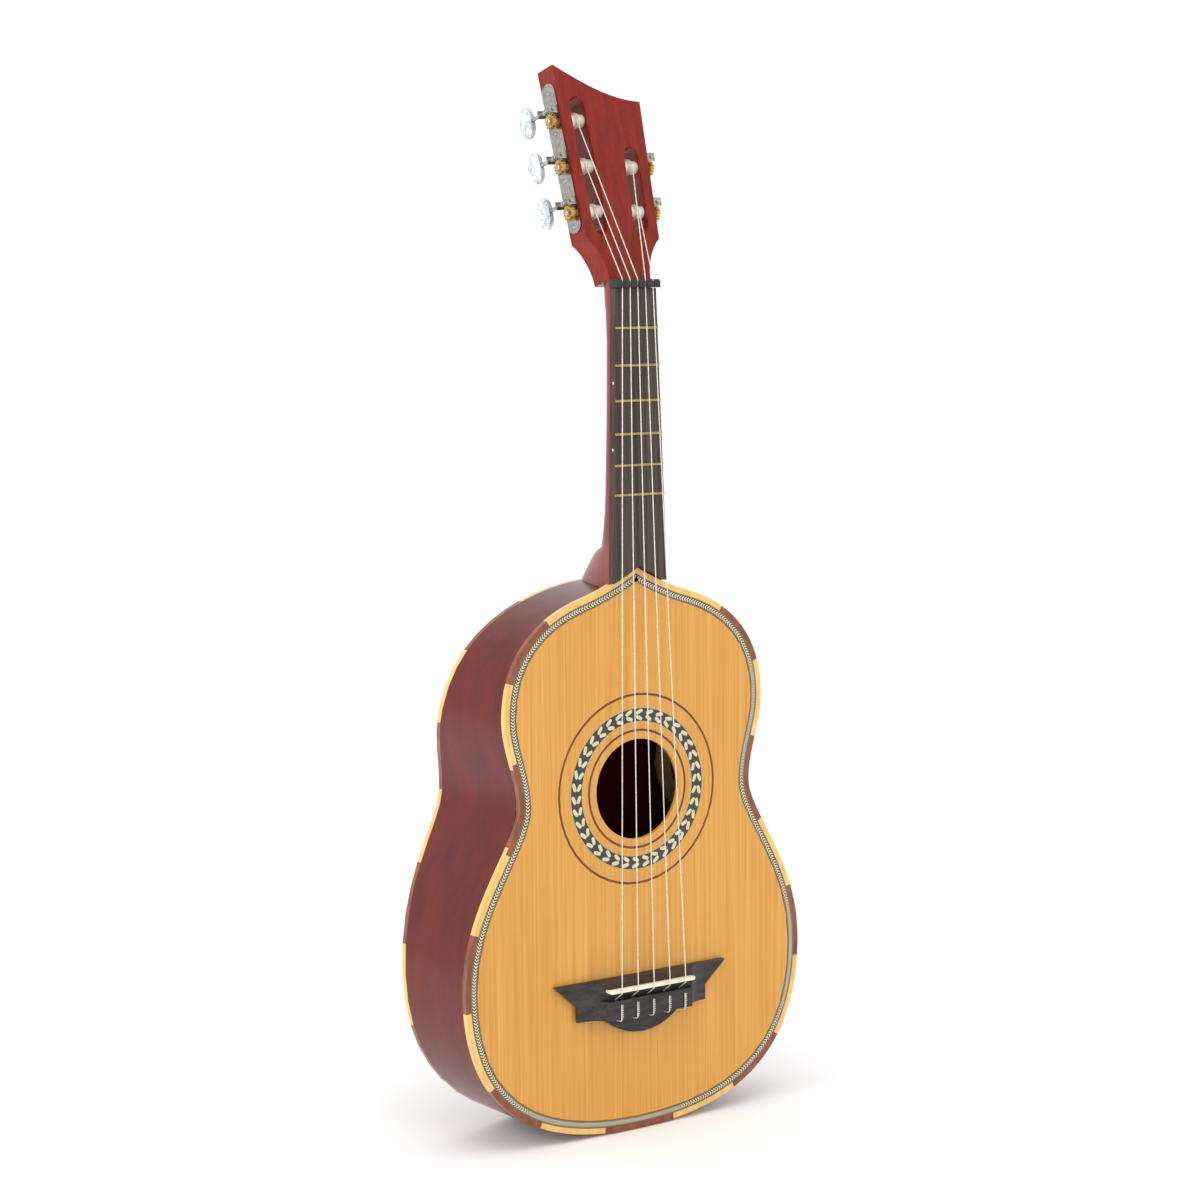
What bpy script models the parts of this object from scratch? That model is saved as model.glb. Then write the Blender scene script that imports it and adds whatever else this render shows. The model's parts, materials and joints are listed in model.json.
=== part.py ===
"""A five-string Mexican vihuela with a keeled back, made of its separate pieces.

Metres, +Z up. The origin is the middle of the nut's front edge, on the plane of the soundboard.
The soundboard faces -Y, the neck runs up +Z, and depths into the body are +Y.
"""

import math

import bmesh
import bpy
from mathutils import Vector

MM = 0.001
GAP = 0.1 * MM  # left between glued pieces

# Strings
SCALE_LENGTH = 520 * MM
STRINGS = 5
STRING_RADIUS = 0.4 * MM
NUT_PITCH = 7.0 * MM
SADDLE_PITCH = 14.9 * MM
STRING_AT_NUT_Y = -4.7 * MM
WINDING_TURNS = 2.5
WINDING_PITCH = 1.35 * MM
WINDING_CLEARANCE = 0.3 * MM
LOOP_POINTS = 24
STRING_SIDES = 6

# Body outline: half widths, and heights below the nut
TAIL_Z = -636.7 * MM
LOWER_BOUT = (156.0 * MM, -510.6 * MM)
WAIST = (106.9 * MM, -378.3 * MM)
UPPER_BOUT = (119.2 * MM, -312.5 * MM)
HEEL_Z = -220.8 * MM
TAIL_FULLNESS = 102.6 * MM
LOWER_FULLNESS = (84.5 * MM, 64.2 * MM)  # below and above the widest place
WAIST_FULLNESS = (27.0 * MM, 23.2 * MM)
UPPER_FULLNESS = (23.4 * MM, 72.5 * MM)
SHOULDER_FULLNESS = 47.1 * MM
OGEE_TIP_Z = -206.5 * MM
OGEE_INNER_HANDLE = (15 * MM, -215.5 * MM)
OGEE_OUTER_HANDLE = (34 * MM, -223.5 * MM)
SHOULDER_POINTS = 12
OGEE_LEAVES_AT = 8  # the shoulder point where the ogee leaves the round outline
OGEE_POINTS = 5

# Back: a keel that rises along the middle, and falls to each side
KEEL_DEPTH = 135.8 * MM
KEEL_Z = -420 * MM
KEEL_SPAN = 200 * MM
KEEL_CURVE = (2.05 * MM, -48.4 * MM, -21.4 * MM)
BACK_FALL = (  # height, and the fall to each side as a slope
    (-637 * MM, 0.28),
    (-560 * MM, 0.233),
    (-478 * MM, 0.264),
    (-371 * MM, 0.223),
    (-298 * MM, 0.264),
    (-221 * MM, 0.25),
)

# Body pieces
TOP_THICKNESS = 2.8 * MM
BACK_THICKNESS = 2.8 * MM
RIB_THICKNESS = 2.0 * MM
BINDING_WIDTH = 4.3 * MM
BINDING_HEIGHT = 4.5 * MM
PURFLING_WIDTH = 5.7 * MM
INLAY_DEPTH = 1.4 * MM
SPINE_HALF = 3 * MM
LINING_REACH = 9.5 * MM
LINING_HEIGHT = 13 * MM
LINING_LIP = 2.5 * MM
BLOCK_HALF = 30 * MM
NECK_BLOCK_DEPTH = 33 * MM
TAIL_BLOCK_DEPTH = 20 * MM
BLOCK_FIT = 4.9 * MM  # from the outline's end to the flat end of a block
BAR_HALF = 4 * MM
BAR_HEIGHT = 15 * MM
BAR_END_HEIGHT = 5 * MM
BAR_SCOOP = 25 * MM
HARMONIC_BARS = (("upper_harmonic_bar", -310 * MM), ("lower_harmonic_bar", -438 * MM))
BACK_BRACES = (("back_brace_upper", -300 * MM), ("back_brace_lower", -480 * MM))
BRACE_HEIGHT = 11 * MM
BRACE_FIT = 0.4 * MM

# Sound hole and rosette
HOLE_Z = -374.6 * MM
HOLE_RADIUS = 38 * MM
ROSETTE = (  # name, inner radius, outer radius
    ("rosette_outer_ring", 71.1 * MM, 72.7 * MM),
    ("rosette_leaf_band", 51.0 * MM, 61.4 * MM),
    ("rosette_inner_ring", 43.9 * MM, 45.5 * MM),
)
ROSETTE_SIDES = 48

# Neck, fingerboard and nut
BOARD_FACE_Y = -2.45 * MM
BOARD_SLOPE = 0.0172
BOARD_THICKNESS = 6.2 * MM
BOARD_HALF_AT_NUT = 18.6 * MM
BOARD_FLARE = 0.0275
BOARD_END_Z = -218 * MM
BOARD_TO_OGEE = 1 * MM
FRETS = 6
FRET_HEIGHT = 1.0 * MM
FRET_HALF = 1.1 * MM
NUT_Z = (0.3 * MM, 6.5 * MM)
NUT_HALF = 20 * MM
NUT_TOP_Y = -6 * MM
NECK_DEPTH = 15 * MM
NECK_FULLNESS = 0.8
HEEL_TAPER = 0.45
HEEL_STARTS_Z = -180 * MM
HEEL_LENGTH = 25 * MM
HEEL_TOP = ((-150, 18.7), (-178, 19.5), (-194, 26), (-195.5, 40))  # mm: height, depth
HEEL_FOOT = ((-195.5, 40), (-198, 48), (-210, 59), (-227, 70.5))
NECK_SIDES = 12

# Headstock, in its own plane: x, and s up the face from its start
TILT = math.radians(15.6)
FACE_START = Vector((0, 4.4 * MM, 6.2 * MM))
HEAD_THICKNESS = 20 * MM
SHOULDER = (33.2 * MM, 31.5 * MM)
SHOULDER_SWEEP = ((18.8 * MM, 14 * MM), (27 * MM, 27 * MM))
SIDE_FLARE = math.radians(2)
HEAD_RIGHT_S = 138.1 * MM
HEAD_LEFT_S = 164.4 * MM
CREST = ((12 * MM, 139 * MM), (-8 * MM, 148 * MM))
SLOT_WIDTH = 13.5 * MM
SLOT_INSET = 14.9 * MM  # from the side of the head to the middle of the slot
SLOT_RAMP = 4.9 * MM
SLOT_RAMP_DEPTH = 6 * MM
LEFT_SLOT = (38.4 * MM, 140 * MM)
RIGHT_SLOT = (39.8 * MM, 102.4 * MM)

# Tuners: a worm on each key's shaft turns a wheel on the end of a roller
LEFT, RIGHT = -1, 1
FIRST_ROLLER_S = 53.5 * MM
ROLLER_PITCH = 35 * MM
TUNERS = ((LEFT, 0), (LEFT, 1), (LEFT, 2), (RIGHT, 1), (RIGHT, 0))  # side, place up the head
ROLLER_DEPTH = 8 * MM
ROLLER_RADIUS = 5 * MM
ROLLER_INTO_MIDDLE = 4 * MM
ROLLER_SIDES = 16
SPINDLE_RADIUS = 2.9 * MM
RUNNING_CLEARANCE = 0.08 * MM
PLATE_THICKNESS = 1 * MM
PLATE_DEPTHS = (2.4 * MM, 18.6 * MM)
PLATE_ENDS = (38.5 * MM, 152.7 * MM)
RIGHT_PLATE_END = 117 * MM
PLATE_CORNER = 6 * MM
EAR_THICKNESS = 1.2 * MM
EAR_HALF = 3 * MM
EAR_REACH = 3.2 * MM  # past the shaft's axis
TEETH = 14
MODULE = 0.75 * MM
WHEEL_TIP_RADIUS = 6.2 * MM
WHEEL_ROOT_RADIUS = 5.0 * MM
TOOTH_TIP_HALF = 0.26 * MM
TOOTH_ROOT_HALF = 0.36 * MM
WHEEL_WIDTH = 3 * MM
WHEEL_OUT = 5.4 * MM  # the middle of the wheel, and the worm's axis, out from the side
HUB_RADIUS = 3.2 * MM
HUB_END = 8 * MM
CENTRE_DISTANCE = 8 * MM
WORM_ROOT_RADIUS = 1.45 * MM
WORM_TIP_RADIUS = 2.4 * MM
THREAD_TURNS = 3
THREAD_STEPS = 6  # rows to each turn of the thread
THREAD_CREST = (2, 3)
WORM_SIDES = 12
SHAFT_RADIUS = 1.45 * MM
SHAFT_ENDS = (1.4 * MM, 40 * MM)
BUTTON_DEPTHS = (29.5 * MM, 45.5 * MM)
BUTTON_HALF_WIDTH = 12 * MM
BUTTON_HALF_THICKNESS = 3.25 * MM
BUTTON_FLUTES = 6
FLUTE_DEPTH = 0.05
BUTTON_SIDES = 24

# Bridge
SADDLE_Z = -522 * MM
SADDLE_HALF = 39.8 * MM
SADDLE_HALF_THICKNESS = 1.65 * MM
SADDLE_TOP_Y = -19 * MM
SADDLE_FOOT_Y = -12 * MM
BRIDGE_TOP_Z = -515.5 * MM
BRIDGE_TIP = 79 * MM
WING_KNEE = (51 * MM, -540.6 * MM)
BULGE_START = (35 * MM, -546.5 * MM)
BULGE_END_Z = -560 * MM
WING_THICKNESS = 4.8 * MM
BLOCK_HEIGHT = 16 * MM
BLOCK_HALF_WIDTH = 38.8 * MM
BLOCK_END_Z = -544.6 * MM
RAMP_END = 60 * MM
BEVEL = 4.5 * MM
TROUGH = (-524.6 * MM, -530 * MM)
TROUGH_FLOOR_Y = -9.5 * MM
TIE_HOLE_Y = -11 * MM
TIE_HOLE_RADIUS = 1 * MM
PATCH_HALF = 80 * MM

LOOKS = {  # colour, roughness, metallic
    "top_wood": ((0.78, 0.55, 0.24), 0.35, 0),
    "side_wood": ((0.13, 0.012, 0.003), 0.18, 0),
    "neck_wood": ((0.2, 0.02, 0.003), 0.2, 0),
    "pale_wood": ((0.7, 0.5, 0.28), 0.5, 0),
    "binding_wood": ((0.62, 0.42, 0.17), 0.3, 0),
    "inlay": ((0.55, 0.5, 0.32), 0.4, 0),
    "ring_wood": ((0.2, 0.08, 0.03), 0.4, 0),
    "dark_wood": ((0.02, 0.018, 0.017), 0.45, 0),
    "board_wood": ((0.06, 0.045, 0.035), 0.5, 0),
    "black_plastic": ((0.01, 0.01, 0.01), 0.3, 0),
    "ivory_plastic": ((0.75, 0.68, 0.5), 0.35, 0),
    "white_plastic": ((0.75, 0.72, 0.64), 0.35, 0),
    "pearl_plastic": ((0.5, 0.55, 0.6), 0.2, 0),
    "string_nylon": ((0.7, 0.66, 0.55), 0.25, 0),
    "nickel": ((0.65, 0.63, 0.6), 0.25, 1),
    "steel": ((0.5, 0.5, 0.5), 0.3, 1),
    "brass": ((0.7, 0.5, 0.2), 0.3, 1),
}


def bezier(start, first, second, end, count):
    """The points of a cubic curve, without its start."""
    points = []
    for k in range(1, count + 1):
        t = k / count
        u = 1 - t
        weights = (u**3, 3 * u * u * t, 3 * u * t * t, t**3)
        corners = (start, first, second, end)
        points.append(tuple(sum(w * c[i] for w, c in zip(weights, corners)) for i in (0, 1)))
    return points


def smooth(t):
    t = min(1, max(0, t))
    return t * t * (3 - 2 * t)


def between(stations, z):
    """The value at z of a smooth line through the stations, which rise in z."""
    z = min(max(z, stations[0][0]), stations[-1][0])
    for (low, a), (high, b) in zip(stations, stations[1:]):
        if z <= high:
            return a + (b - a) * smooth((z - low) / (high - low))
    return stations[-1][1]


def back_y(x, z):
    t = (z - KEEL_Z) / KEEL_SPAN
    ridge = KEEL_DEPTH + sum(k * t**n for n, k in enumerate(KEEL_CURVE, 1))
    return ridge - between(BACK_FALL, z) * abs(x)


def lower_half():
    """Half of the outline, from the tail's middle up to the widest place of the upper bout."""
    points = [(0, TAIL_Z)]
    x, z = LOWER_BOUT
    points += bezier(points[0], (TAIL_FULLNESS, TAIL_Z), (x, z - LOWER_FULLNESS[0]), LOWER_BOUT, 12)
    wx, wz = WAIST
    up = (x, z + LOWER_FULLNESS[1])
    points += bezier(LOWER_BOUT, up, (wx, wz - WAIST_FULLNESS[0]), WAIST, 8)
    ux, uz = UPPER_BOUT
    up = (wx, wz + WAIST_FULLNESS[1])
    points += bezier(WAIST, up, (ux, uz - UPPER_FULLNESS[0]), UPPER_BOUT, 6)
    return points


def shoulder():
    x, z = UPPER_BOUT
    top = (SHOULDER_FULLNESS, HEEL_Z)
    return bezier(UPPER_BOUT, (x, z + UPPER_FULLNESS[1]), top, (0, HEEL_Z), SHOULDER_POINTS)


def body_half():
    return lower_half() + shoulder()


def front_half():
    """The half outline of the soundboard, which runs out over the heel to a pointed ogee."""
    points = lower_half() + shoulder()[:OGEE_LEAVES_AT]
    tip = (0, OGEE_TIP_Z)
    return points + bezier(points[-1], OGEE_OUTER_HANDLE, OGEE_INNER_HANDLE, tip, OGEE_POINTS)


def whole(half):
    return half + [(-x, z) for x, z in half[-2:0:-1]]


def edge_normal(a, b):
    step = b - a
    return Vector((step.y, -step.x)).normalized()


def inset(loop, distance):
    """The closed loop moved inwards, with its corners mitred."""
    points = [Vector(p) for p in loop]
    moved = []
    for i, point in enumerate(points):
        one = edge_normal(points[i - 1], point)
        two = edge_normal(point, points[(i + 1) % len(points)])
        moved.append(tuple(point - (one + two) * distance / (1 + one.dot(two))))
    return moved


def half_width(z, distance):
    """Half the body's width at a height, inside an inset."""
    loop = inset(whole(body_half()), distance)[: len(body_half())]
    for (x0, z0), (x1, z1) in zip(loop, loop[1:]):
        if z0 <= z <= z1:
            return x0 + (x1 - x0) * (z - z0) / (z1 - z0)
    raise ValueError("no outline at this height")


def circle(radius, sides, start=0.0):
    turn = 2 * math.pi / sides
    return [(radius * math.cos(start + i * turn), radius * math.sin(start + i * turn)) for i in range(sides)]


def link(name, verts, faces, where):
    mesh = bpy.data.meshes.new(name)
    mesh.from_pydata([tuple(v) for v in verts], [], faces)
    form = bmesh.new()
    form.from_mesh(mesh)
    bmesh.ops.remove_doubles(form, verts=form.verts, dist=1e-7)
    bmesh.ops.recalc_face_normals(form, faces=form.faces)
    form.to_mesh(mesh)
    form.free()
    piece = bpy.data.objects.new(name, mesh)
    where.objects.link(piece)
    return piece


def skin_faces(rows, around, wrap, first=0):
    """Faces over rows of points, with both ends capped or the last row joined to the first."""
    faces = []
    for j in range(rows if wrap else rows - 1):
        for i in range(around):
            a, b = first + j * around, first + (j + 1) % rows * around
            k = (i + 1) % around
            faces.append((a + i, a + k, b + k, b + i))
    if not wrap:
        faces.append(tuple(first + i for i in range(around)))
        faces.append(tuple(first + (rows - 1) * around + i for i in range(around)))
    return faces


def paint(piece, look):
    colour, roughness, metallic = LOOKS[look]
    material = bpy.data.materials.new(piece.name)
    material.use_nodes = True
    shader = material.node_tree.nodes["Principled BSDF"]
    shader.inputs["Base Color"].default_value = (*colour, 1)
    shader.inputs["Roughness"].default_value = roughness
    shader.inputs["Metallic"].default_value = metallic
    piece.data.materials.append(material)
    return piece


def skin(name, look, rows, wrap=False):
    verts = [p for row in rows for p in row]
    return paint(link(name, verts, skin_faces(len(rows), len(rows[0]), wrap), PIECES), look)


def cutter(name, *skins):
    """One helper mesh of one or more closed skins, each a list of rows."""
    verts, faces = [], []
    for rows in skins:
        faces += skin_faces(len(rows), len(rows[0]), False, len(verts))
        verts += [p for row in rows for p in row]
    piece = link(name, verts, faces, CUTTERS)
    piece.hide_render = True
    piece.display_type = "WIRE"
    return piece


def boolean(piece, other, operation):
    step = piece.modifiers.new(other.name, "BOOLEAN")
    step.object = other
    step.operation = operation
    step.solver = "EXACT"


def cut(piece, other):
    boolean(piece, other, "DIFFERENCE")


def add(piece, other):
    boolean(piece, other, "UNION")


def layers(loop, *ys):
    """Copies of an x, z loop at each depth."""
    return [[(x, y, z) for x, z in loop] for y in ys]


def ring_band(name, look, loop, corners):
    """A strip that runs round a loop. Each corner is an inset and a function of x and z."""
    rows = [[(x, depth(x, z), z) for x, z in inset(loop, distance)] for distance, depth in corners]
    return skin(name, look, rows, wrap=True)


def level(y):
    return lambda x, z: y


def above_back(y):
    return lambda x, z: back_y(x, z) - y


# Body


def make_soundboard():
    loop = whole(front_half())
    edge = BINDING_WIDTH + GAP
    inner = edge + PURFLING_WIDTH + GAP
    shelf = INLAY_DEPTH + GAP
    rows = layers(inset(loop, inner), 0, shelf) + layers(inset(loop, edge), shelf, TOP_THICKNESS)
    board = skin("soundboard", "top_wood", rows)
    hole = [(x, HOLE_Z + z) for x, z in circle(HOLE_RADIUS, ROSETTE_SIDES)]
    cut(board, cutter("sound_hole_cut", layers(hole, -1 * MM, TOP_THICKNESS + MM)))
    for name, inner_radius, outer_radius in ROSETTE:
        make_rosette_ring(board, name, inner_radius, outer_radius)
    ring_band(
        "top_binding",
        "binding_wood",
        loop,
        ((0, level(0)), (0, level(BINDING_HEIGHT)), (BINDING_WIDTH, level(BINDING_HEIGHT)), (BINDING_WIDTH, level(0))),
    )
    far = edge + PURFLING_WIDTH
    ring_band(
        "top_purfling",
        "inlay",
        loop,
        ((edge, level(0)), (edge, level(INLAY_DEPTH)), (far, level(INLAY_DEPTH)), (far, level(0))),
    )


def make_rosette_ring(board, name, inner_radius, outer_radius):
    def rows(spare, top, bottom):
        out, into = outer_radius + spare, inner_radius - spare
        return [
            [(x, y, HOLE_Z + z) for x, z in circle(radius, ROSETTE_SIDES)]
            for radius, y in ((into, top), (out, top), (out, bottom), (into, bottom))
        ]

    look = "inlay" if name == "rosette_leaf_band" else "ring_wood"
    skin(name, look, rows(0, 0, INLAY_DEPTH), wrap=True)
    channel = rows(GAP, -1 * MM, INLAY_DEPTH + GAP)
    verts = [p for row in channel for p in row]
    piece = link(name + "_channel", verts, skin_faces(4, ROSETTE_SIDES, True), CUTTERS)
    piece.hide_render = True
    piece.display_type = "WIRE"
    cut(board, piece)


def make_ribs():
    half = body_half()
    loop = whole(half)
    inner = inset(loop, RIB_THICKNESS)[: len(half)]
    for side, name in ((LEFT, "side_rib_left"), (RIGHT, "side_rib_right")):
        rows = []
        for (x0, z0), (x1, z1) in zip(half, inner):
            out, into = side * max(x0, GAP), side * max(x1, GAP)
            front = BINDING_HEIGHT + GAP
            far, near = (back_y(x, z) - front for x, z in ((out, z0), (into, z1)))
            rows.append([(out, front, z0), (out, far, z0), (into, near, z1), (into, front, z1)])
        skin(name, "side_wood", rows)


def on_edge(end, other, x):
    """The point of an edge at a distance x from the middle."""
    return x, end[1] + (other[1] - end[1]) * (x - end[0]) / (other[0] - end[0])


def make_back():
    half = body_half()
    loop = whole(half)
    ring_band(
        "back_binding",
        "binding_wood",
        loop,
        (
            (0, above_back(0)),
            (0, above_back(BINDING_HEIGHT)),
            (BINDING_WIDTH, above_back(BINDING_HEIGHT)),
            (BINDING_WIDTH, above_back(0)),
        ),
    )
    edge = inset(loop, BINDING_WIDTH + GAP)[: len(half)]
    near = SPINE_HALF + GAP
    start = near + 0.5 * MM
    sides = [on_edge(edge[0], edge[1], start)] + edge[1:-1] + [on_edge(edge[-1], edge[-2], start)]
    for side, name in ((LEFT, "back_left"), (RIGHT, "back_right")):
        rows = []
        for x, z in sides:
            out, into = side * x, side * near
            low, high = back_y(out, z), back_y(into, z)
            rows.append(
                [(into, high, z), (out, low, z), (out, low - BACK_THICKNESS, z), (into, high - BACK_THICKNESS, z)]
            )
        skin(name, "side_wood", rows)
    rows = []
    for x, z in edge:
        low, high = back_y(SPINE_HALF, z), back_y(0, z)
        over = [(-SPINE_HALF, low, z), (0, high, z), (SPINE_HALF, low, z)]
        rows.append(over + [(x, y - BACK_THICKNESS, z) for x, y, z in reversed(over)])
    skin("back_spine", "binding_wood", rows)


def make_linings():
    loop = whole(body_half())
    outer, step = RIB_THICKNESS + 2 * GAP, BINDING_WIDTH + 2 * GAP
    for name, face, over in (("top_lining", TOP_THICKNESS, level), ("back_lining", BACK_THICKNESS, above_back)):
        start, clear = face + GAP, BINDING_HEIGHT + 2 * GAP
        corners = (
            (step, start),
            (LINING_REACH, start),
            (LINING_REACH, start + LINING_LIP),
            (outer, LINING_HEIGHT),
            (outer, clear),
            (step, clear),
        )
        ring_band(name, "pale_wood", loop, [(distance, over(y)) for distance, y in corners])


def make_blocks():
    for name, first, last in (
        ("neck_block", HEEL_Z - BLOCK_FIT, HEEL_Z - NECK_BLOCK_DEPTH),
        ("tail_block", TAIL_Z + BLOCK_FIT, TAIL_Z + TAIL_BLOCK_DEPTH),
    ):
        rows = []
        for z in (first, (first + last) / 2, last):
            near, far = LINING_HEIGHT + GAP, LINING_HEIGHT + 3 * GAP
            low, high = back_y(BLOCK_HALF, z) - far, back_y(0, z) - far
            rows.append(
                [(-BLOCK_HALF, near, z), (BLOCK_HALF, near, z), (BLOCK_HALF, low, z), (0, high, z), (-BLOCK_HALF, low, z)]
            )
        skin(name, "pale_wood", rows)


def make_braces():
    reach = LINING_REACH + GAP
    under = TOP_THICKNESS + GAP
    for name, z in HARMONIC_BARS:
        half = min(half_width(z - BAR_HALF, reach), half_width(z + BAR_HALF, reach)) - GAP
        profile = [(-half, under), (half, under), (half, under + BAR_END_HEIGHT), (half - BAR_SCOOP, under + BAR_HEIGHT)]
        profile += [(BAR_SCOOP - half, under + BAR_HEIGHT), (-half, under + BAR_END_HEIGHT)]
        skin(name, "pale_wood", [[(x, y, level_z) for x, y in profile] for level_z in (z - BAR_HALF, z + BAR_HALF)])
    for name, z in BACK_BRACES:
        half = min(half_width(z - BAR_HALF, reach), half_width(z + BAR_HALF, reach)) - GAP
        rows = []
        for level_z in (z - BAR_HALF, z + BAR_HALF):
            inside = BACK_THICKNESS + BRACE_FIT
            outer = [(x, back_y(x, level_z) - inside, level_z) for x in (-half, 0, half)]
            inner = [(x, y - BRACE_HEIGHT, level_z) for x, y, level_z in reversed(outer)]
            rows.append(outer + inner)
        skin(name, "pale_wood", rows)
    patch = [(-PATCH_HALF, BULGE_END_Z), (PATCH_HALF, BULGE_END_Z), (PATCH_HALF, BRIDGE_TOP_Z), (-PATCH_HALF, BRIDGE_TOP_Z)]
    skin("bridge_patch", "pale_wood", layers(patch, under, under + 2 * MM))


# Neck


def board_face(z):
    return BOARD_FACE_Y + BOARD_SLOPE * z


def board_half(z):
    return BOARD_HALF_AT_NUT - BOARD_FLARE * z


def neck_front(z):
    return board_face(min(z, 0)) + BOARD_THICKNESS + GAP


def on_head(x, s, depth):
    up = Vector((0, math.sin(TILT), math.cos(TILT)))
    back = Vector((0, math.cos(TILT), -math.sin(TILT)))
    return FACE_START + Vector((x, 0, 0)) + up * s + back * depth


def head_outline():
    right = [(BOARD_HALF_AT_NUT, 0)]
    right += bezier(right[0], *SHOULDER_SWEEP, SHOULDER, 6)
    left = [(-x, s) for x, s in reversed(right)]
    x, s = SHOULDER
    top_right = (x + (HEAD_RIGHT_S - s) * math.tan(SIDE_FLARE), HEAD_RIGHT_S)
    top_left = (-x - (HEAD_LEFT_S - s) * math.tan(SIDE_FLARE), HEAD_LEFT_S)
    return right + [top_right] + bezier(top_right, *CREST, top_left, 8) + left


def neck_stations():
    """Heights, front and back depths of the neck's sections, from the heel up into the head."""
    heel = [HEEL_TOP[0]] + bezier(*HEEL_TOP, 5) + bezier(*HEEL_FOOT, 4)
    stations = [(z * MM, neck_front(z * MM), y * MM) for z, y in reversed(heel)]
    for z in (-100 * MM, -40 * MM, -20 * MM, -8 * MM, 0, FACE_START.z):
        swell = 6 * MM * smooth((z + 40 * MM) / (46 * MM))
        stations.append((z, neck_front(z), neck_front(z) + NECK_DEPTH + swell))
    z = FACE_START.z + 5 * MM
    front = FACE_START.y + 5 * MM * math.tan(TILT) + 0.3 * MM
    stations.append((z, front, front + HEAD_THICKNESS))
    return stations


def make_neck():
    rows = []
    for z, front, back in neck_stations():
        taper = HEEL_TAPER * smooth((HEEL_STARTS_Z - z) / HEEL_LENGTH)
        half = board_half(min(z, 0)) - (0.2 * MM if z > FACE_START.z else 0)
        row = []
        for k in range(NECK_SIDES + 1):
            angle = math.pi * k / NECK_SIDES
            across, deep = math.cos(angle), math.sin(angle)
            x = half * math.copysign(abs(across) ** NECK_FULLNESS, across) * (1 - taper * deep)
            row.append((x, front + (back - front) * deep, z))
        rows.append(row)
    neck = skin("neck", "neck_wood", rows)
    outline = head_outline()
    head = cutter("headstock_block", [[on_head(x, s, d) for x, s in outline] for d in (0, HEAD_THICKNESS)])
    add(neck, head)
    cut(neck, cutter("slot_cuts", slot_rows(LEFT, LEFT_SLOT), slot_rows(RIGHT, RIGHT_SLOT)))
    cut(neck, cutter("roller_bores", *[bore_rows(side, place) for side, place in TUNERS]))
    recess = BINDING_HEIGHT + 2 * GAP
    cut(neck, cutter("ogee_recess", layers(inset(whole(front_half()), -3 * GAP), -20 * MM, recess)))
    cut(neck, cutter("heel_joint_cut", layers(inset(whole(body_half()), -2 * GAP), -30 * MM, 200 * MM)))


def make_fingerboard():
    tip = inset(whole(front_half()), -BOARD_TO_OGEE)[: len(front_half())]
    end_half = board_half(BOARD_END_Z)
    notch = [(x, z) for x, z in tip if z > -230 * MM and x < end_half - MM]
    outline = [(-BOARD_HALF_AT_NUT, 0), (BOARD_HALF_AT_NUT, 0), (end_half, BOARD_END_Z)]
    outline += notch + [(-x, z) for x, z in reversed(notch[:-1])] + [(-end_half, BOARD_END_Z)]
    rows = [[(x, board_face(z) + y, z) for x, z in outline] for y in (0, BOARD_THICKNESS)]
    skin("fingerboard", "board_wood", rows)
    for fret in range(1, FRETS + 1):
        z = -SCALE_LENGTH * (1 - 2 ** (-fret / 12))
        face = board_face(z) - 0.05 * MM
        crown = [
            (z - FRET_HALF, face),
            (z - 0.8 * FRET_HALF, face - 0.6 * FRET_HEIGHT),
            (z - 0.3 * FRET_HALF, face - FRET_HEIGHT),
            (z + 0.3 * FRET_HALF, face - FRET_HEIGHT),
            (z + 0.8 * FRET_HALF, face - 0.6 * FRET_HEIGHT),
            (z + FRET_HALF, face),
        ]
        half = board_half(z) - 2 * GAP
        skin(f"fret_{fret}", "nickel", [[(x, y, level_z) for level_z, y in crown] for x in (-half, half)])


def string_x(string, pitch):
    return (string - (STRINGS - 1) / 2) * pitch


def make_nut():
    low, high = NUT_Z
    foot = neck_front(0) - GAP
    profile = [(foot, low), (foot, high), (NUT_TOP_Y + 1.5 * MM, high), (NUT_TOP_Y, high - 2 * MM), (NUT_TOP_Y, low)]
    nut = skin("nut", "black_plastic", [[(x, y, z) for y, z in profile] for x in (-NUT_HALF, NUT_HALF)])
    slots = []
    floor = STRING_AT_NUT_Y + STRING_RADIUS + GAP
    half = STRING_RADIUS + 2 * GAP
    for string in range(STRINGS):
        x = string_x(string, NUT_PITCH)
        mouth = [(x - half, -20 * MM), (x + half, -20 * MM), (x + half, floor), (x - half, floor)]
        slots.append([[(px, y, z) for px, y in mouth] for z in (low - MM, high + MM)])
    cut(nut, cutter("nut_slots", *slots))


# Headstock fittings. A place by the head's side is out from the side, up along it, and deep.


def by_side(side, out, up, deep):
    lean, rise = math.sin(SIDE_FLARE), math.cos(SIDE_FLARE)
    x = side * (SHOULDER[0] + out * rise + up * lean)
    s = SHOULDER[1] - out * lean + up * rise
    return on_head(x, s, deep)


def roller_up(place):
    return FIRST_ROLLER_S - SHOULDER[1] + place * ROLLER_PITCH


def slot_rows(side, ends):
    low, high = (s - SHOULDER[1] for s in ends)
    radius = SLOT_WIDTH / 2
    rows = []
    for deep, ramp in ((-MM, SLOT_RAMP), (SLOT_RAMP_DEPTH, 0), (HEAD_THICKNESS + MM, 0)):
        row = []
        for k in range(9):
            angle = math.pi * k / 8
            row.append((radius * math.cos(angle), high - radius + radius * math.sin(angle)))
        for k in range(9):
            angle = math.pi * (1 + k / 8)
            row.append((radius * math.cos(angle), low - ramp + radius + radius * math.sin(angle)))
        rows.append([by_side(side, out - SLOT_INSET, up, deep) for out, up in row])
    return rows


def round_rows(side, up, deep, stations, sides=ROLLER_SIDES):
    """Rows of a shape turned about an axis that points out of the side: distance out, and radius."""
    return [
        [by_side(side, out, up + a, deep + d) for a, d in circle(radius, sides)]
        for out, radius in stations
    ]


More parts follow.
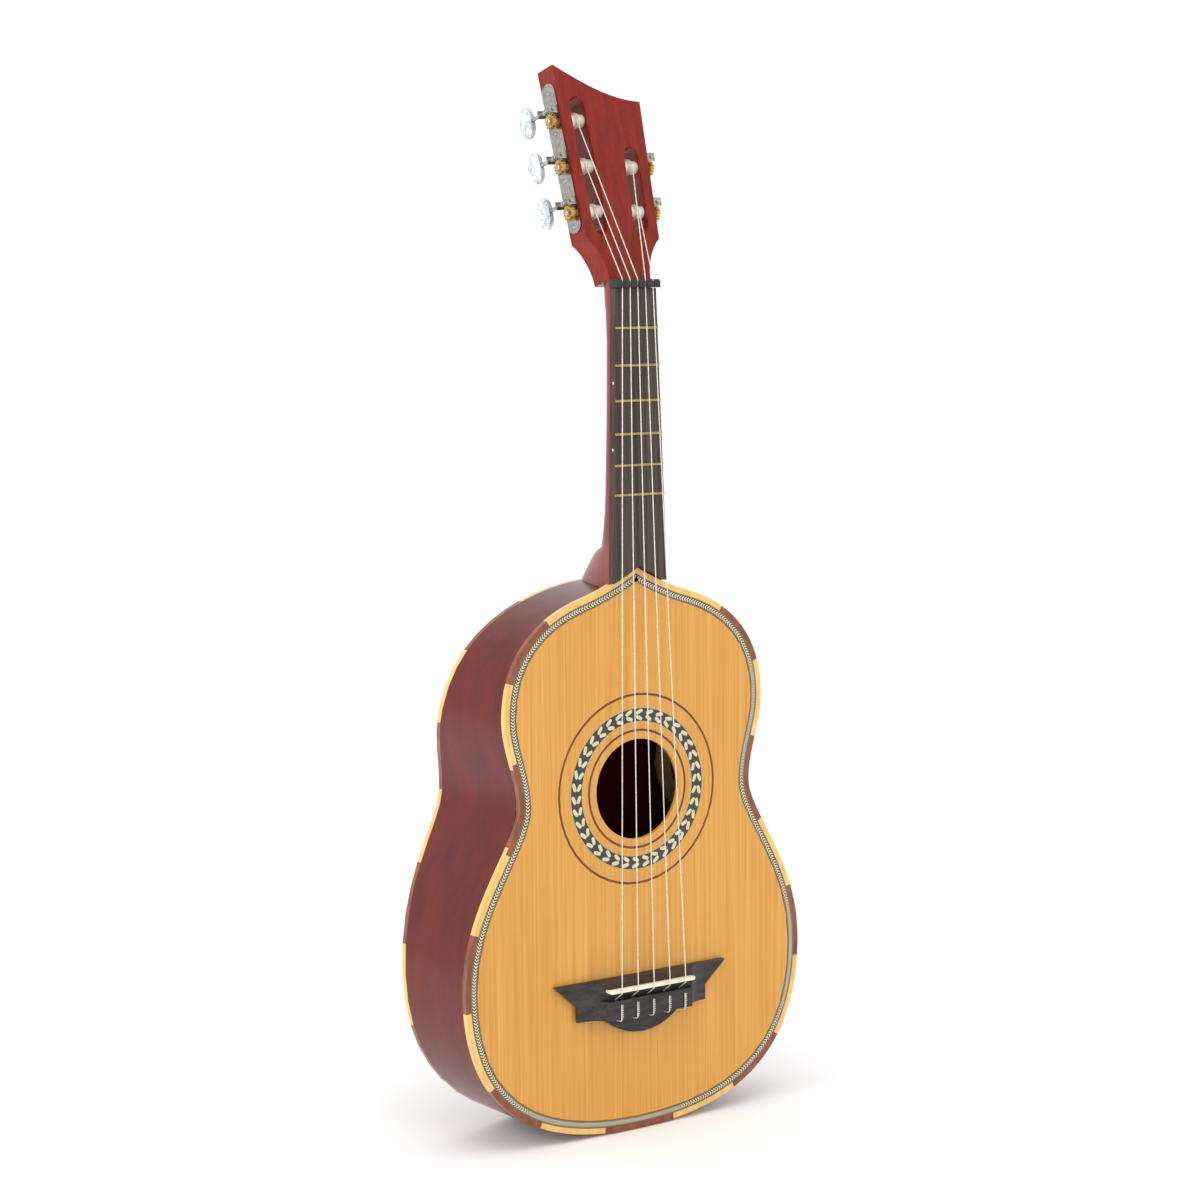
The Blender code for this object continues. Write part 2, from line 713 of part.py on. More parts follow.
def bore_rows(side, place):
    clear = (ROLLER_RADIUS + RUNNING_CLEARANCE) / math.cos(math.pi / ROLLER_SIDES)
    ends = (2 * MM, -SLOT_INSET - SLOT_WIDTH / 2 - ROLLER_INTO_MIDDLE - 3 * GAP)
    return round_rows(side, roller_up(place), ROLLER_DEPTH, [(end, clear) for end in ends])


def shaft_rows(side, up, stations, sides=WORM_SIDES):
    """Rows of a shape turned about an axis that runs deep, at the worm's distance out."""
    return [
        [by_side(side, WHEEL_OUT + o, up + a, deep) for a, o in circle(radius, sides)]
        for deep, radius in stations
    ]


def worm_pitch():
    return math.pi * MODULE


def make_worm_shaft(name, side, place):
    """The shaft, with a thread whose rows climb as they go round."""
    up = roller_up(place) + CENTRE_DISTANCE
    pitch = worm_pitch()
    row_step = pitch / THREAD_STEPS
    crest = (THREAD_CREST[0] + THREAD_CREST[1]) / 2
    low = ROLLER_DEPTH + pitch / 2 - (crest / THREAD_STEPS + 1) * pitch
    high = low + THREAD_TURNS * pitch
    last = THREAD_STEPS * (THREAD_TURNS + 1) + 1
    grid = []
    for i in range(WORM_SIDES):
        angle = 2 * math.pi * i / WORM_SIDES
        column = []
        for j in range(last + 1):
            deep = low + (j + i * THREAD_STEPS / WORM_SIDES - THREAD_STEPS) * row_step
            on_crest = j % THREAD_STEPS in THREAD_CREST and low < deep < high
            radius = WORM_TIP_RADIUS if on_crest else WORM_ROOT_RADIUS
            deep = min(max(deep, low), high)
            out, along = WHEEL_OUT + radius * math.sin(angle), up - radius * math.cos(angle)
            column.append(by_side(side, out, along, deep))
        grid.append(column)
    verts = [p for column in grid for p in column]
    height = last + 1
    faces = []
    for i in range(WORM_SIDES):
        shift = THREAD_STEPS if i == WORM_SIDES - 1 else 0
        a, b = i * height, (i + 1) % WORM_SIDES * height
        for j in range(last - shift):
            faces.append((a + j, b + j + shift, b + j + shift + 1, a + j + 1))
    for end, row in ((SHAFT_ENDS[0], 0), (SHAFT_ENDS[1], last)):
        first = len(verts)
        for i in range(WORM_SIDES):
            angle = 2 * math.pi * i / WORM_SIDES
            out, along = WHEEL_OUT + SHAFT_RADIUS * math.sin(angle), up - SHAFT_RADIUS * math.cos(angle)
            verts.append(by_side(side, out, along, end))
        for i in range(WORM_SIDES):
            k = (i + 1) % WORM_SIDES
            faces.append((i * height + row, k * height + row, first + k, first + i))
        faces.append(tuple(range(first, first + WORM_SIDES)))
    return paint(link(name, verts, faces, PIECES), "steel")


def button_outline(scale):
    """Across and deep, round the edge of a key, with shallow flutes in its outer end."""
    low, high = BUTTON_DEPTHS
    middle, half = (low + high) / 2, (high - low) / 2
    points = []
    for k in range(BUTTON_SIDES):
        angle = 2 * math.pi * k / BUTTON_SIDES
        flute = 1 - FLUTE_DEPTH * (1 - math.cos(BUTTON_FLUTES * angle)) / 2
        across = math.copysign(abs(math.cos(angle)) ** 0.8, math.cos(angle))
        deep = math.copysign(abs(math.sin(angle)) ** 0.8, math.sin(angle))
        points.append((BUTTON_HALF_WIDTH * across * flute * scale, middle + half * deep * flute * scale))
    return points


def make_button(name, side, place):
    up = roller_up(place) + CENTRE_DISTANCE
    rows = []
    for share, scale in ((-1, 0.78), (-0.5, 1), (0.5, 1), (1, 0.78)):
        out = WHEEL_OUT + share * BUTTON_HALF_THICKNESS
        rows.append([by_side(side, out, up + a, d) for a, d in button_outline(scale)])
    button = skin(name, "pearl_plastic", rows)
    bore = SHAFT_RADIUS + GAP
    ends = (BUTTON_DEPTHS[0] - 2 * MM, SHAFT_ENDS[1] + GAP)
    cut(button, cutter(name + "_bore", shaft_rows(side, up, [(end, bore) for end in ends])))
    return button


def make_wheel(name, side, place):
    up = roller_up(place)
    profile = []
    for tooth in range(TEETH):
        middle = 2 * math.pi * tooth / TEETH
        for radius, half in (
            (WHEEL_ROOT_RADIUS, -TOOTH_ROOT_HALF),
            (WHEEL_TIP_RADIUS, -TOOTH_TIP_HALF),
            (WHEEL_TIP_RADIUS, TOOTH_TIP_HALF),
            (WHEEL_ROOT_RADIUS, TOOTH_ROOT_HALF),
        ):
            angle = middle + half / radius
            profile.append((radius * math.cos(angle), radius * math.sin(angle)))
    ends = (WHEEL_OUT - WHEEL_WIDTH / 2, WHEEL_OUT + WHEEL_WIDTH / 2)
    rows = [[by_side(side, out, up + a, ROLLER_DEPTH + d) for a, d in profile] for out in ends]
    wheel = skin(name, "brass", rows)
    start = 2 * GAP + PLATE_THICKNESS + GAP
    hub = round_rows(side, up, ROLLER_DEPTH, [(start, HUB_RADIUS), (HUB_END, HUB_RADIUS)], 12)
    add(wheel, cutter(name + "_hub", hub))
    return wheel


def make_roller(name, side, place):
    inner = -SLOT_INSET - SLOT_WIDTH / 2 - ROLLER_INTO_MIDDLE
    stations = (
        (inner, ROLLER_RADIUS),
        (-GAP, ROLLER_RADIUS),
        (-GAP, SPINDLE_RADIUS),
        (2 * GAP + PLATE_THICKNESS, SPINDLE_RADIUS),
    )
    return skin(name, "white_plastic", round_rows(side, roller_up(place), ROLLER_DEPTH, stations))


def make_plate(name, side, ends, places):
    low, high = (s - SHOULDER[1] for s in ends)
    near, far = PLATE_DEPTHS
    middle, half = (near + far) / 2, (far - near) / 2
    outline = []
    for k in range(9):
        angle = math.pi * (k / 8 - 0.5)
        outline.append((high - PLATE_CORNER + PLATE_CORNER * math.cos(angle), middle + half * math.sin(angle)))
    for k in range(9):
        angle = math.pi * (k / 8 + 0.5)
        outline.append((low + PLATE_CORNER + PLATE_CORNER * math.cos(angle), middle + half * math.sin(angle)))
    outs = (GAP, GAP + PLATE_THICKNESS)
    plate = skin(name, "nickel", [[by_side(side, out, up, d) for up, d in outline] for out in outs])
    clear = SPINDLE_RADIUS + RUNNING_CLEARANCE
    clear /= math.cos(math.pi / ROLLER_SIDES)
    shaft_clear = (SHAFT_RADIUS + RUNNING_CLEARANCE) / math.cos(math.pi / WORM_SIDES)
    ears, holes, bores = [], [], []
    for place in places:
        up = roller_up(place) + CENTRE_DISTANCE
        for start in (near, far - EAR_THICKNESS):
            reach = WHEEL_OUT + EAR_REACH
            corners = [(GAP * 2, up - EAR_HALF), (reach, up - EAR_HALF), (reach, up + EAR_HALF), (GAP * 2, up + EAR_HALF)]
            depths = (start + GAP, start + EAR_THICKNESS - GAP)
            ears.append([[by_side(side, out, along, d) for out, along in corners] for d in depths])
        ends = [(SHAFT_ENDS[0] - MM, shaft_clear), (far + MM, shaft_clear)]
        bores.append(shaft_rows(side, up, ends))
        holes.append(round_rows(side, roller_up(place), ROLLER_DEPTH, [(-MM, clear), (3 * MM, clear)]))
    add(plate, cutter(name + "_ears", *ears))
    cut(plate, cutter(name + "_spindle_holes", *holes))
    cut(plate, cutter(name + "_shaft_bores", *bores))
    return plate


def make_tuners():
    make_plate("tuner_plate_left", LEFT, PLATE_ENDS, (0, 1, 2))
    make_plate("tuner_plate_right", RIGHT, (PLATE_ENDS[0], RIGHT_PLATE_END), (0, 1))
    for number, (side, place) in enumerate(TUNERS, 1):
        up = roller_up(place)
        shaft = make_worm_shaft(f"worm_shaft_{number}", side, place)
        button = make_button(f"button_{number}", side, place)
        turn_about(f"key_axis_{number}", by_side(side, WHEEL_OUT, up + CENTRE_DISTANCE, ROLLER_DEPTH), shaft, button)
        wheel = make_wheel(f"gear_wheel_{number}", side, place)
        roller = make_roller(f"roller_{number}", side, place)
        turn_about(f"roller_axis_{number}", by_side(side, 0, up, ROLLER_DEPTH), wheel, roller)


def turn_about(name, place, *pieces):
    """Hangs moving pieces on an empty that stands on their joint's axis."""
    empty = bpy.data.objects.new(name, None)
    empty.location = place
    PIECES.objects.link(empty)
    for piece in pieces:
        piece.parent = empty
        piece.location = -Vector(place)


# Bridge and strings


def make_bridge():
    knee_x, knee_z = WING_KNEE
    bulge_x, bulge_z = BULGE_START
    right = [(BRIDGE_TIP, BRIDGE_TOP_Z), (BRIDGE_TIP - MM, BRIDGE_TOP_Z - 1.5 * MM), WING_KNEE]
    handles = ((knee_x - 3 * MM, knee_z - 3 * MM), (bulge_x + 6 * MM, bulge_z + MM))
    right = right[::-1]
    right = bezier(BULGE_START, handles[1], handles[0], WING_KNEE, 4) + right[1:]
    half = [(0, BULGE_END_Z)]
    half += bezier(half[0], (16 * MM, BULGE_END_Z), (26 * MM, bulge_z - 7 * MM), BULGE_START, 5)
    half += right
    outline = half + [(-x, z) for x, z in half[:0:-1]]
    bridge = skin("bridge", "dark_wood", layers(outline, -GAP, -WING_THICKNESS))
    ramp = bezier((RAMP_END, -WING_THICKNESS + 2 * GAP), (47 * MM, -5 * MM), (41 * MM, -9 * MM), (BLOCK_HALF_WIDTH, -BLOCK_HEIGHT), 5)
    ramp = [(RAMP_END, -WING_THICKNESS + 2 * GAP)] + ramp
    foot = -2 * MM
    profile = [(-RAMP_END, foot), (RAMP_END, foot)] + ramp + [(-x, y) for x, y in reversed(ramp)]
    ends = (BRIDGE_TOP_Z - 3 * GAP, BLOCK_END_Z)
    add(bridge, cutter("bridge_block", [[(x, y, z) for x, y in profile] for z in ends]))
    wide = RAMP_END + 2 * MM
    edge = [(-BLOCK_HEIGHT - MM, BRIDGE_TOP_Z - BEVEL - 0.4 * MM), (-WING_THICKNESS - 2 * GAP, BRIDGE_TOP_Z + GAP)]
    edge += [(-WING_THICKNESS - 2 * GAP, BRIDGE_TOP_Z + 5 * MM), (-BLOCK_HEIGHT - MM, BRIDGE_TOP_Z + 5 * MM)]
    cut(bridge, cutter("bridge_bevel", [[(x, y, z) for y, z in edge] for x in (-wide, wide)]))
    trough = [(TROUGH[0], -BLOCK_HEIGHT - MM), (TROUGH[0], TROUGH_FLOOR_Y), (TROUGH[1], TROUGH_FLOOR_Y), (TROUGH[1], -BLOCK_HEIGHT - MM)]
    reach = SADDLE_HALF + 3 * MM
    cut(bridge, cutter("bridge_trough", [[(x, y, z) for z, y in trough] for x in (-reach, reach)]))
    slot_half = SADDLE_HALF_THICKNESS + GAP
    slot = [(SADDLE_Z - slot_half, -BLOCK_HEIGHT - MM), (SADDLE_Z - slot_half, SADDLE_FOOT_Y + GAP)]
    slot += [(SADDLE_Z + slot_half, SADDLE_FOOT_Y + GAP), (SADDLE_Z + slot_half, -BLOCK_HEIGHT - MM)]
    cut(bridge, cutter("saddle_slot", [[(x, y, z) for z, y in slot] for x in (-reach, reach)]))
    holes = []
    for string in range(STRINGS):
        x = string_x(string, SADDLE_PITCH)
        holes.append(
            [[(x + a, TIE_HOLE_Y + b, z) for a, b in circle(TIE_HOLE_RADIUS, 8)] for z in (TROUGH[1] + MM, BLOCK_END_Z - MM)]
        )
    cut(bridge, cutter("tie_holes", *holes))


def make_saddle():
    """A bone strip with round ends, standing in the bridge's slot."""
    radius = SADDLE_HALF_THICKNESS
    outline = []
    for end in (1, -1):
        for k in range(7):
            angle = math.pi * (k / 6 - 0.5)
            outline.append((end * (SADDLE_HALF - radius + radius * math.cos(angle)), SADDLE_Z + end * radius * math.sin(angle)))
    skin("saddle", "ivory_plastic", layers(outline, SADDLE_FOOT_Y, SADDLE_TOP_Y))


def string_route(string):
    """From the loose end on the tie block, through it, over the saddle and the nut, onto the roller."""
    x = string_x(string, SADDLE_PITCH)
    nut_x = string_x(string, NUT_PITCH)
    side, place = TUNERS[string]
    lift = STRING_RADIUS + 2 * GAP
    behind = BLOCK_END_Z - STRING_RADIUS - 3 * GAP
    over = -BLOCK_HEIGHT - lift
    points = [
        (x + 1.7 * MM, over, TROUGH[1] - 3 * MM),
        (x + 1.7 * MM, over, BLOCK_END_Z + 3 * MM),
        (x + 1.5 * MM, over - GAP, BLOCK_END_Z - 0.3 * MM),
        (x + 1.2 * MM, over + 1.2 * MM, behind - 0.6 * MM),
        (x + 0.6 * MM, TIE_HOLE_Y - 1.6 * MM, behind - 0.6 * MM),
        (x + 0.1 * MM, TIE_HOLE_Y - 0.2 * MM, behind),
        (x, TIE_HOLE_Y, BLOCK_END_Z),
        (x, TIE_HOLE_Y, TROUGH[1]),
        (x, TIE_HOLE_Y - 1.2 * MM, TROUGH[1] + MM),
        (x, SADDLE_TOP_Y - lift, SADDLE_Z - SADDLE_HALF_THICKNESS - 0.2 * MM),
        (x, SADDLE_TOP_Y - lift, SADDLE_Z + SADDLE_HALF_THICKNESS),
        (nut_x, STRING_AT_NUT_Y, NUT_Z[0]),
        (nut_x, STRING_AT_NUT_Y, NUT_Z[1]),
    ]
    points = [Vector(p) for p in points]
    return points + winding(side, place, points[-1])


def winding(side, place, start):
    """The turns about a roller, which begin where the straight string touches their circle."""
    radius = ROLLER_RADIUS + WINDING_CLEARANCE + STRING_RADIUS
    up = roller_up(place)
    origin = by_side(side, 0, 0, 0)
    along = by_side(side, 0, 1, 0) - origin
    deep = by_side(side, 0, 0, 1) - origin
    far = (start - origin).dot(along) - up
    high = (start - origin).dot(deep) - ROLLER_DEPTH
    distance = math.hypot(far, high)
    touch = math.atan2(far, -high) + math.acos(radius / distance)
    count = round(WINDING_TURNS * LOOP_POINTS)
    turns = []
    first_out = -SLOT_INSET + WINDING_PITCH
    for k in range(count + 1):
        turn = k / LOOP_POINTS
        angle = touch + 2 * math.pi * turn
        out = first_out - turn * WINDING_PITCH
        turns.append(by_side(side, out, up + radius * math.sin(angle), ROLLER_DEPTH - radius * math.cos(angle)))
    end = turns[-1] - turns[-2]
    turns.append(turns[-1] + end.normalized() * 2 * STRING_RADIUS)
    return turns


def least_gap(points, radius):
    """The least distance between two stretches of one tube that are over half a turn apart."""
    apart = LOOP_POINTS // 2
    least = min(
        (points[i] - points[j]).length
        for i in range(len(points))
        for j in range(i + apart, len(points))
    )
    return least - 2 * radius


def make_string(string):
    route = string_route(string)
    print(f"string_{string + 1} winding gap {least_gap(route[-60:], STRING_RADIUS) / MM:.2f} mm")
    rows = []
    normal = Vector((1, 0, 0))
    for i, point in enumerate(route):
        before, after = route[max(i - 1, 0)], route[min(i + 1, len(route) - 1)]
        a, b = (point - before).normalized(), (after - point).normalized()
        tangent = (a + b).normalized()
        normal = (normal - tangent * normal.dot(tangent)).normalized()
        side = tangent.cross(normal)
        rows.append([tuple(point + normal * u + side * v) for u, v in circle(STRING_RADIUS, STRING_SIDES)])
    skin(f"string_{string + 1}", "string_nylon", rows)


def main():
    make_soundboard()
    make_ribs()
    make_back()
    make_linings()
    make_blocks()
    make_braces()
    make_neck()
    make_fingerboard()
    make_nut()
    make_tuners()
    make_bridge()
    make_saddle()
    for string in range(STRINGS):
        make_string(string)


for old in list(bpy.data.objects):
    bpy.data.objects.remove(old)
PIECES = bpy.data.collections.new("mexican_vihuela")
CUTTERS = bpy.data.collections.new("cutters")
for group in (PIECES, CUTTERS):
    bpy.context.scene.collection.children.link(group)
main()
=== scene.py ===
"""The looks of a five-string Mexican vihuela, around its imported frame. Metres, +Z up."""

import json
import math

import bmesh
import bpy
from mathutils import Matrix, Vector


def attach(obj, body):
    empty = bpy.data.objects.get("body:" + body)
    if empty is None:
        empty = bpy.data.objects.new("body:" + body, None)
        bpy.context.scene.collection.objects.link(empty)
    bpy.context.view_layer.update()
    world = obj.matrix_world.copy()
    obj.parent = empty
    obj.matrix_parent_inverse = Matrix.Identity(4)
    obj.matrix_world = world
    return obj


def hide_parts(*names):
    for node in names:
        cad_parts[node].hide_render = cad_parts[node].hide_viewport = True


MM = 0.001
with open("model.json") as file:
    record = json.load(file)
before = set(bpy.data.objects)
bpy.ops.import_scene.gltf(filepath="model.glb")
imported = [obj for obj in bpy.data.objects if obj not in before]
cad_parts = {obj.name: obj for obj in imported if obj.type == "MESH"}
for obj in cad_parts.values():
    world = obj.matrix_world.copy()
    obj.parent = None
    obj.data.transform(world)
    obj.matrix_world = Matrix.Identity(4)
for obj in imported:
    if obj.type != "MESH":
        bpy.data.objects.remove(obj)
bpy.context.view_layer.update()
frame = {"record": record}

# Camera, fitted to the photograph's frets, nut and outline
CAMERA_PLACE = Vector((-1.2392, -1.6869, -0.0036))
CAMERA_AZIMUTH = math.radians(-35.562)
CAMERA_ELEVATION = math.radians(6.215)
CAMERA_ROLL = math.radians(-0.477)
FOCAL_SHARE = 2817.9 / 1200  # focal length over the frame's width
SENSOR = 36
CLIP_START = 0.05

# Studio; each light has its place, width, height and power
WORLD_STRENGTH = 1.05
LIGHT_TARGET = Vector((0, 0, -0.25))
LIGHTS = {
    "left_softbox": ((-2.1, -0.2, 0.35), 0.35, 1.5, 16),
    "right_softbox": ((2.3, -1.1, 0.2), 1.2, 1.6, 10),
    "top_softbox": ((-0.9, -1.4, 2.2), 1.4, 1.0, 10),
}
FLOOR_HALF = 60
FLOOR_BELOW = 0.5 * MM
FLOOR_GREYS = (0.96, 0.98)

# The body's outline, repeated from the part
TAIL_Z = -636.7 * MM
TAIL_REACH = 102.6 * MM
LOWER_BOUT = (156.0 * MM, -510.6 * MM)
LOWER_BOUT_REACHES = (84.5 * MM, 64.2 * MM)
WAIST = (106.9 * MM, -378.3 * MM)
WAIST_REACHES = (27.0 * MM, 23.2 * MM)
UPPER_BOUT = (119.2 * MM, -312.5 * MM)
UPPER_BOUT_REACHES = (23.4 * MM, 72.5 * MM)
HEEL_Z = -220.8 * MM
HEEL_REACH = 47.1 * MM
OGEE_TIP_Z = -206.5 * MM
OGEE_CURVE = ((34 * MM, -223.5 * MM), (15 * MM, -215.5 * MM))
FINE = 3  # points for each one of the part's outline

# The binding, the purfling and the rosette's leaf band, repeated from the part
BINDING_WIDTH = 4.3 * MM
BINDING_HEIGHT = 4.5 * MM
PURFLING_NEAR = 4.4 * MM
PURFLING_WIDTH = 5.7 * MM
PURFLING_DEPTH = 1.4 * MM
HOLE_Z = -374.6 * MM
LEAF_BAND = (51.0 * MM, 61.4 * MM)

# The bindings' pale and dark pieces: where the first one ends, from the tail, and their length
FRONT_PIECES = (29 * MM, 62.3 * MM)
MOST_FRONT_PIECES = 9
BACK_PIECES = (34 * MM, 56.1 * MM)
MOST_BACK_PIECES = 10

# The herringbone; its shares are of the strip's width, or of one chevron
CHEVRON_PITCH = 2.4 * MM
CHEVRON_SLOPE = 2.2
CREAM_SHARE = 0.52
CHEVRONS_END = 0.3
LINES_START = 0.36

# The leaf band's pattern; its shares are of the band's width, from its middle
LEAF_PAIRS = 38
LEAF_HALF_WIDTH = 0.3
LEAF_LENGTH = 0.44
LEAVES_END = 0.43
EDGE_LINES_START = 0.465

# Strings, repeated from the part, and the twists of their ends on the tie block
STRINGS = 5
SADDLE_PITCH = 14.9 * MM
BLOCK_TOP_Y = -16 * MM
TIE_ENDS_Z = (-533.5 * MM, -543.5 * MM)
TIE_ASIDE = 1.7 * MM
TIE_LIFT = 1.2 * MM
TIE_TWISTS = 6
TWIST_POINTS = 14
TWIST_RADIUS = 0.78 * MM
TWIST_WIRE_RADIUS = 0.33 * MM

# Tuner screws; along a plate they stand at shares of the step between two rollers
SCREW_SIDES = 20
SCREW_PROFILE = ((0, 1), (0.35, 0.95), (0.6, 0.75), (0.75, 0.4))  # lift in mm, share of the radius
SCREW_SLOT_DEPTH = 0.35
SCREW_SLOT_HALF = 0.2
PLATE_SCREW_RADIUS = 1.7 * MM
WHEEL_SCREW_RADIUS = 2.4 * MM
WHEEL_SCREW_OUT = 8 * MM
PLATE_SCREW_DEEP = 3.5 * MM
PLATE_THICKNESS = 1.1 * MM
PLATE_SCREWS = {"left": (1, 2, (-0.29, 0.72, 1.75, 2.62)), "right": (5, 4, (-0.29, 0.72, 1.6))}

# Side dots, on the fingerboard's left edge
SIDE_DOTS_Z = (-69.7 * MM, -118.8 * MM)
DOT_SIDES = 16
DOT_RADIUS = 1 * MM
DOT_BELOW_FACE = 2.4 * MM
BOARD_HALF_AT_NUT = 18.6 * MM
BOARD_TAPER = 0.0275
BOARD_FACE_AT_NUT_Y = -2.45 * MM
BOARD_SLOPE = 0.0172

# Woods: dark and light colours, grain scales, roughness, coat, bump and figure
FIGURE_SCALE = (9, 9, 14)
WOODS = {
    "top_wood": ((196, 132, 46), (222, 168, 82), (420, 1, 5), 0.5, 0.5, 0.05, 0.3),
    "side_wood": ((74, 6, 0), (112, 20, 0), (60, 60, 9), 0.3, 0.2, 0.03, 0.5),
    "neck_wood": ((104, 12, 0), (146, 34, 0), (160, 160, 6), 0.3, 0.2, 0.04, 0.4),
    "pale_wood": ((200, 160, 110), (226, 196, 150), (300, 300, 10), 0.6, 0.0, 0.1, 0.0),
    "maple": ((214, 164, 84), (240, 198, 118), (160, 160, 40), 0.3, 0.6, 0.1, 0.0),
    "walnut": ((104, 46, 20), (150, 82, 46), (160, 160, 40), 0.3, 0.6, 0.1, 0.0),
    "ring_wood": ((86, 38, 22), (122, 62, 40), (200, 200, 60), 0.35, 0.5, 0.1, 0.0),
    "dark_wood": ((28, 26, 26), (66, 60, 58), (30, 300, 300), 0.42, 0.2, 0.1, 0.0),
    "board_wood": ((38, 32, 30), (86, 74, 64), (500, 300, 7), 0.5, 0.1, 0.25, 0.0),
}

# Plastics and metals: two colours, mottling scale, roughness and metallic
PLAINS = {
    "black_plastic": ((16, 15, 15), (30, 28, 27), 200, 0.3, 0),
    "ivory_plastic": ((222, 210, 176), (240, 232, 206), 150, 0.3, 0),
    "white_plastic": ((214, 208, 192), (234, 230, 218), 150, 0.35, 0),
    "string_nylon": ((206, 200, 186), (232, 228, 216), 400, 0.25, 0),
    "nickel": ((150, 147, 140), (176, 173, 165), 300, 0.2, 1),
    "fret_wire": ((168, 140, 88), (192, 164, 108), 300, 0.25, 1),
    "steel": ((150, 150, 150), (186, 186, 184), 300, 0.3, 1),
    "brass": ((186, 148, 84), (214, 178, 110), 300, 0.28, 1),
}

# Nodes that look unlike their slot, nodes that have a strip of their own, and softened edges
OTHER_LOOKS = {"rosette_leaf_band": "leaf_band", "back_spine": "maple"}
DRESSED_APART = ("top_purfling", "top_binding", "back_binding")
SOFT_EDGES = {
    "neck": 0.5 * MM,
    "bridge": 0.35 * MM,
    "fingerboard": 0.3 * MM,
    "saddle": 0.5 * MM,
    "nut": 0.4 * MM,
}
BUTTON_EDGE = 0.5 * MM


def srgb(red, green, blue):
    """A colour read off the screen, in linear values."""
    return tuple(((c / 255 + 0.055) / 1.055) ** 2.4 for c in (red, green, blue))


class Nodes:
    """Short names for the nodes of one material."""

    def __init__(self, name, roughness, metallic=0.0, coat=0.0):
        self.material = bpy.data.materials.new(name)
        self.material.use_nodes = True
        self.tree = self.material.node_tree
        self.shader = self.tree.nodes["Principled BSDF"]
        self.shader.inputs["Roughness"].default_value = roughness
        self.shader.inputs["Metallic"].default_value = metallic
        self.shader.inputs["Coat Weight"].default_value = coat
        self.shader.inputs["Coat Roughness"].default_value = 0.05

    def put(self, socket, value):
        if isinstance(value, bpy.types.NodeSocket):
            self.tree.links.new(value, socket)
        else:
            socket.default_value = value

    def math(self, operation, a, b=0.0):
        node = self.tree.nodes.new("ShaderNodeMath")
        node.operation = operation
        self.put(node.inputs[0], a)
        self.put(node.inputs[1], b)
        return node.outputs[0]

    def place(self, scale=(1, 1, 1), kind="Object"):
        source = self.tree.nodes.new("ShaderNodeTexCoord")
        mapping = self.tree.nodes.new("ShaderNodeMapping")
        mapping.inputs["Scale"].default_value = scale
        self.put(mapping.inputs["Vector"], source.outputs[kind])
        return mapping.outputs["Vector"]

    def axes(self, vector):
        node = self.tree.nodes.new("ShaderNodeSeparateXYZ")
        self.put(node.inputs[0], vector)
        return node.outputs

    def noise(self, vector, scale=1.0, detail=4.0, rough=0.5, distortion=0.0):
        node = self.tree.nodes.new("ShaderNodeTexNoise")
        self.put(node.inputs["Vector"], vector)
        node.inputs["Scale"].default_value = scale
        node.inputs["Detail"].default_value = detail
        node.inputs["Roughness"].default_value = rough
        node.inputs["Distortion"].default_value = distortion
        return node.outputs["Fac"]

    def ramp(self, value, start, end):
        node = self.tree.nodes.new("ShaderNodeValToRGB")
        for element, (place, colour) in zip(node.color_ramp.elements, (start, end)):
            element.position = place
            element.color = (*colour, 1)
        self.put(node.inputs["Fac"], value)
        return node.outputs["Color"]

    def mix(self, factor, one, two):
        node = self.tree.nodes.new("ShaderNodeMix")
        node.data_type = "RGBA"
        self.put(node.inputs["Factor"], factor)
        for name, value in (("A", one), ("B", two)):
            socket = next(s for s in node.inputs if s.name == name and s.type == "RGBA")
            self.put(socket, value if isinstance(value, bpy.types.NodeSocket) else (*value, 1))
        return next(s for s in node.outputs if s.type == "RGBA")

    def colour(self, value):
        self.put(self.shader.inputs["Base Color"], value)

    def bump(self, height, strength, distance):
        node = self.tree.nodes.new("ShaderNodeBump")
        node.inputs["Strength"].default_value = strength
        node.inputs["Distance"].default_value = distance
        self.put(node.inputs["Height"], height)
        self.put(self.shader.inputs["Normal"], node.outputs["Normal"])


def wood(name, dark, light, grain, roughness, coat, bump, figure):
    """Wood whose grain runs along the axis with the smallest of the three grain scales."""
    made = Nodes(name, roughness, coat=coat)
    lines = made.noise(made.place(grain), detail=6, rough=0.6)
    colour = made.ramp(lines, (0.3, dark), (0.7, light))
    if figure:
        waves = made.noise(made.place(FIGURE_SCALE), detail=3, distortion=0.6)
        colour = made.mix(made.math("MULTIPLY", waves, figure), colour, dark)
    made.colour(colour)
    made.bump(lines, bump, 0.2 * MM)
    made.shader.inputs["Specular IOR Level"].default_value = 0.2
    return made.material


def plain(name, one, two, scale, roughness, metallic):
    """A moulded or turned surface, with faint mottling."""
    made = Nodes(name, roughness, metallic)
    spots = made.noise(made.place((scale,) * 3), detail=5)
    made.colour(made.ramp(spots, (0.35, one), (0.65, two)))
    made.bump(spots, 0.05, 0.1 * MM)
    return made.material


def herringbone():
    """Cream chevrons on black between two brown lines, along a strip's own length."""
    made = Nodes("herringbone", 0.35, coat=0.5)
    along, across, _ = made.axes(made.place(kind="UV"))
    off = made.math("ABSOLUTE", made.math("SUBTRACT", across, 0.5))
    chevron = made.math("FRACT", made.math("ADD", along, made.math("MULTIPLY", off, CHEVRON_SLOPE)))
    inside = made.math("LESS_THAN", off, CHEVRONS_END)
    cream = made.math("MULTIPLY", made.math("LESS_THAN", chevron, CREAM_SHARE), inside)
    line = made.math("GREATER_THAN", off, LINES_START)
    colour = made.mix(cream, srgb(19, 6, 2), srgb(212, 203, 168))
    made.colour(made.mix(line, colour, srgb(112, 94, 66)))
    return made.material


